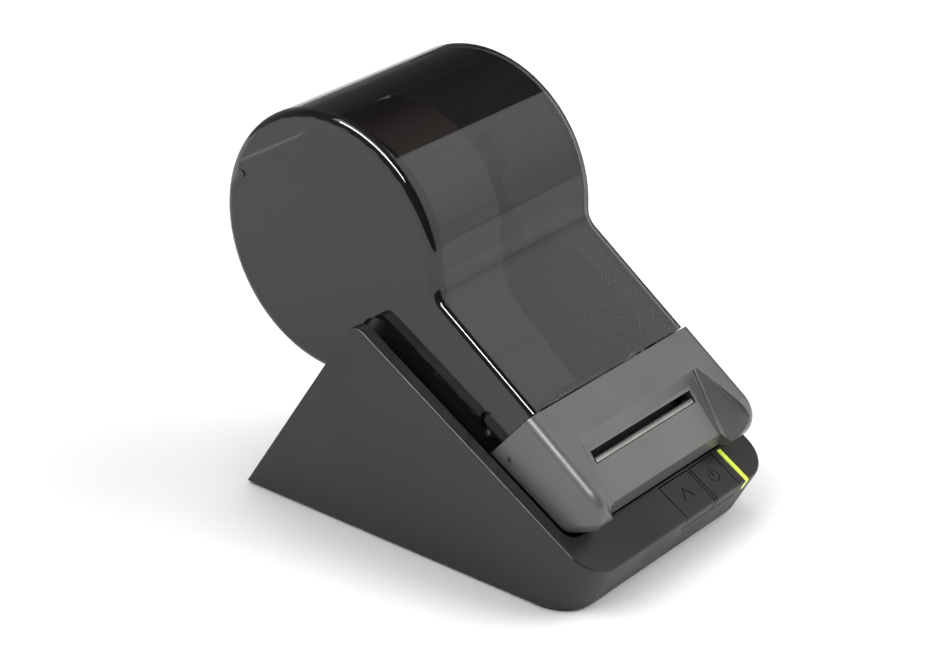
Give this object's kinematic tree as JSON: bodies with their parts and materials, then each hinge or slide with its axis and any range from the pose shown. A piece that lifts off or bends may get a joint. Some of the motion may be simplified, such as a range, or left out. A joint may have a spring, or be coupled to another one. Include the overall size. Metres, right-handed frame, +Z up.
{
  "type": "label maker",
  "caption": "Desktop thermal label printer on a wedge stand, with a hinged smoked roll cover, label roll on a spool, tear bar, two wrap-over keys and a feed and print mechanism.",
  "frame": {"origin": "centre of the footprint on the table", "axes": "+Z up, -Y the front where labels come out, +X to the right of someone who faces the front, which is the side the keys are on"},
  "size_m": [0.108, 0.1773, 0.1549],
  "materials": {
    "stand_plastic": "fine matte texture",
    "body_plastic": "satin",
    "cap_plastic": "satin metallic paint look",
    "smoke_plastic": "smoked clear gloss",
    "rubber": "matte",
    "steel": "satin",
    "paper": "matte",
    "spool_plastic": "satin",
    "board": "solder mask",
    "part_plastic": "matte",
    "light_pipe": "lit clear plastic",
    "gear_plastic": "satin",
    "aluminium": "satin",
    "ceramic": "smooth",
    "brass": "satin"
  },
  "bodies": {
    "machine": {"base_bottom_plate": "stand_plastic", "base_screw_1": "steel", "base_screw_2": "steel", "base_screw_3": "steel", "base_screw_4": "steel", "base_shell": "stand_plastic", "board_screw_1": "steel", "board_screw_2": "steel", "body_housing": "body_plastic", "button_board": "board", "dc_jack": "part_plastic", "feed_guide": "body_plastic", "feed_motor": "aluminium", "feed_switch": "part_plastic", "foot_front_left": "rubber", "foot_front_right": "rubber", "foot_rear_left": "rubber", "foot_rear_right": "rubber", "front_cap": "cap_plastic", "head_pivot_pin": "steel", "head_spring": "steel", "hinge_pin_left": "part_plastic", "hinge_pin_right": "part_plastic", "idler_pin": "steel", "label_strip": "paper", "light_pipe": "light_pipe", "main_board": "board", "main_screw_1": "steel", "main_screw_2": "steel", "main_screw_3": "steel", "main_screw_4": "steel", "mechanism_cover": "body_plastic", "platen_bush_left": "brass", "platen_bush_right": "brass", "power_switch": "part_plastic", "print_chassis": "aluminium", "spool_arm_left": "spool_plastic", "spool_arm_right": "spool_plastic", "status_led": "part_plastic", "tear_bar": "steel", "usb_socket": "steel"},
    "cover": {"roll_cover": "smoke_plastic"},
    "feed_key": {"feed_button": "stand_plastic"},
    "power_key": {"power_button": "stand_plastic"},
    "spool": {"label_roll": "paper", "spool_spindle": "spool_plastic", "spool_flange_left": "spool_plastic", "spool_flange_right": "spool_plastic"},
    "platen": {"platen_roller": "rubber", "platen_core": "part_plastic", "platen_shaft": "steel", "platen_gear": "gear_plastic"},
    "idler": {"idler_gear": "gear_plastic"},
    "pinion": {"motor_pinion": "brass", "motor_shaft": "steel"},
    "head": {"print_head": "ceramic", "head_bracket": "aluminium"}
  },
  "joints": [
    {"name": "cover_hinge", "type": "hinge", "parent": "machine", "child": "cover", "pos_m": [0, 0.0806, 0.1213], "axis": [-1, 0, 0], "range_deg": [0, 80]},
    {"name": "feed_press", "type": "slide", "parent": "machine", "child": "feed_key", "axis": [0, 0.515, -0.8572], "range_m": [0, 0.0005], "stiffness_N_per_m": 400, "springref_m": -0.0008},
    {"name": "power_press", "type": "slide", "parent": "machine", "child": "power_key", "axis": [0, 0.515, -0.8572], "range_m": [0, 0.0005], "stiffness_N_per_m": 400, "springref_m": -0.0008},
    {"name": "spool_spin", "type": "hinge", "parent": "machine", "child": "spool", "pos_m": [0, 0.0395, 0.1049], "axis": [1, 0, 0], "continuous": true},
    {"name": "platen_spin", "type": "hinge", "parent": "machine", "child": "platen", "pos_m": [0, -0.0575, 0.045], "axis": [1, 0, 0], "continuous": true},
    {"name": "idler_spin", "type": "hinge", "parent": "machine", "child": "idler", "pos_m": [0, -0.04632, 0.04093], "axis": [1, 0, 0], "continuous": true},
    {"name": "pinion_spin", "type": "hinge", "parent": "machine", "child": "pinion", "pos_m": [0, -0.03613, 0.03839], "axis": [1, 0, 0], "continuous": true},
    {"name": "head_lift", "type": "hinge", "parent": "machine", "child": "head", "pos_m": [0, -0.041, 0.0576], "axis": [-1, 0, 0], "range_deg": [0, 4], "stiffness_Nm_per_rad": 1.5, "springref_deg": -5.73}
  ],
  "couplings": [
    {"joint": "idler_spin", "follows": "platen_spin", "ratio": -0.7},
    {"joint": "pinion_spin", "follows": "platen_spin", "ratio": 1.4}
  ]
}
